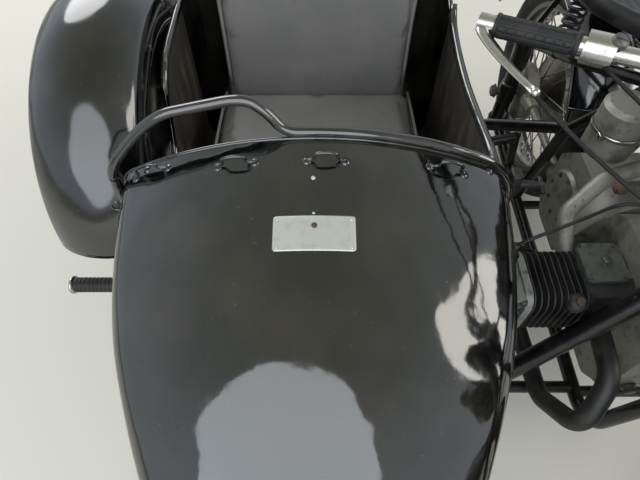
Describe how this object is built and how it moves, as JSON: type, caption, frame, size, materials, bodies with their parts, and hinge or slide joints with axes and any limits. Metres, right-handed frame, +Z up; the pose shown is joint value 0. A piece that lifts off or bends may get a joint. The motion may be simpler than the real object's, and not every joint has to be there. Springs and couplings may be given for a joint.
{
  "type": "sidecar motorcycle",
  "caption": "Flat-twin shaft-drive motorcycle with a single-seat boat-shaped sidecar on its right; wheels turn, fork steers and the sidecar's boot lid opens.",
  "frame": {"origin": "on the floor under the middle of the whole machine", "axes": "+Z up, the machine faces -Y, +X is the rider's left; the sidecar is on the -X side"},
  "size_m": [1.7468, 2.3404, 0.9777],
  "materials": {
    "black_paint": "gloss black paint",
    "black_tube": "semi-gloss black paint",
    "wheel_paint": "black paint with bare spokes",
    "tyre_rubber": "worn",
    "grip_rubber": "patterned",
    "saddle_rubber": "moulded",
    "battery_case": "matt",
    "seat_vinyl": "grained vinyl",
    "cast_aluminium": "rough cast, oxidised",
    "iron": "blackened",
    "grey_steel": "grey paint",
    "exhaust_steel": "heat-proof black",
    "bare_steel": "plated, worn",
    "spring_steel": "oiled",
    "lamp_body": "red lens in a black shell"
  },
  "bodies": {
    "frame": {"main_frame": "black_tube", "plungers": "black_tube", "rear_axle": "bare_steel", "engine_case": "cast_aluminium", "gearbox": "cast_aluminium", "cylinders": "iron", "carburettor": "cast_aluminium", "air_cleaner": "grey_steel", "exhaust": "exhaust_steel", "final_drive": "cast_aluminium", "fuel_tank": "black_paint", "saddle": "saddle_rubber", "saddle_springs": "black_tube", "rear_mudguard": "black_paint", "rack": "black_tube", "foot_controls": "black_tube", "battery": "battery_case", "lamps": "lamp_body", "chassis": "black_tube", "step_rubber": "grip_rubber", "struts": "black_tube", "leaf_springs": "spring_steel", "car_nose": "black_paint", "car_floor": "black_paint", "car_side_inner": "black_paint", "car_side_outer": "black_paint", "car_tail": "black_paint", "grab_rail": "black_tube", "seat_cushion": "seat_vinyl", "seat_back": "seat_vinyl", "car_mudguard": "black_paint"},
    "fork": {"fork": "black_tube", "handlebar": "black_tube", "grips": "grip_rubber", "hand_levers": "bare_steel", "headlamp": "black_paint", "front_mudguard": "black_paint", "front_axle": "cast_aluminium"},
    "front_wheel": {"front_wheel": "wheel_paint", "front_tyre": "tyre_rubber"},
    "rear_wheel": {"rear_wheel": "wheel_paint", "rear_tyre": "tyre_rubber"},
    "car_wheel": {"car_wheel": "wheel_paint", "car_tyre": "tyre_rubber"},
    "boot_lid": {"boot_lid": "black_paint"}
  },
  "joints": [
    {"name": "steering", "type": "hinge", "parent": "frame", "child": "fork", "pos_m": [0.401, -0.46661, 0.8194], "axis": [0, 0.4617, 0.887], "range_deg": [-35, 35]},
    {"name": "front_wheel_turn", "type": "hinge", "parent": "fork", "child": "front_wheel", "pos_m": [0.401, -0.81, 0.333], "axis": [1, 0, 0], "continuous": true},
    {"name": "rear_wheel_turn", "type": "hinge", "parent": "frame", "child": "rear_wheel", "pos_m": [0.401, 0.62, 0.333], "axis": [1, 0, 0], "continuous": true},
    {"name": "car_wheel_turn", "type": "hinge", "parent": "frame", "child": "car_wheel", "pos_m": [-0.765, 0.33, 0.333], "axis": [1, 0, 0], "continuous": true},
    {"name": "boot_lid_hinge", "type": "hinge", "parent": "frame", "child": "boot_lid", "pos_m": [-0.312, 0.616, 0.75755], "axis": [1, 0, 0], "range_deg": [0, 78]}
  ]
}
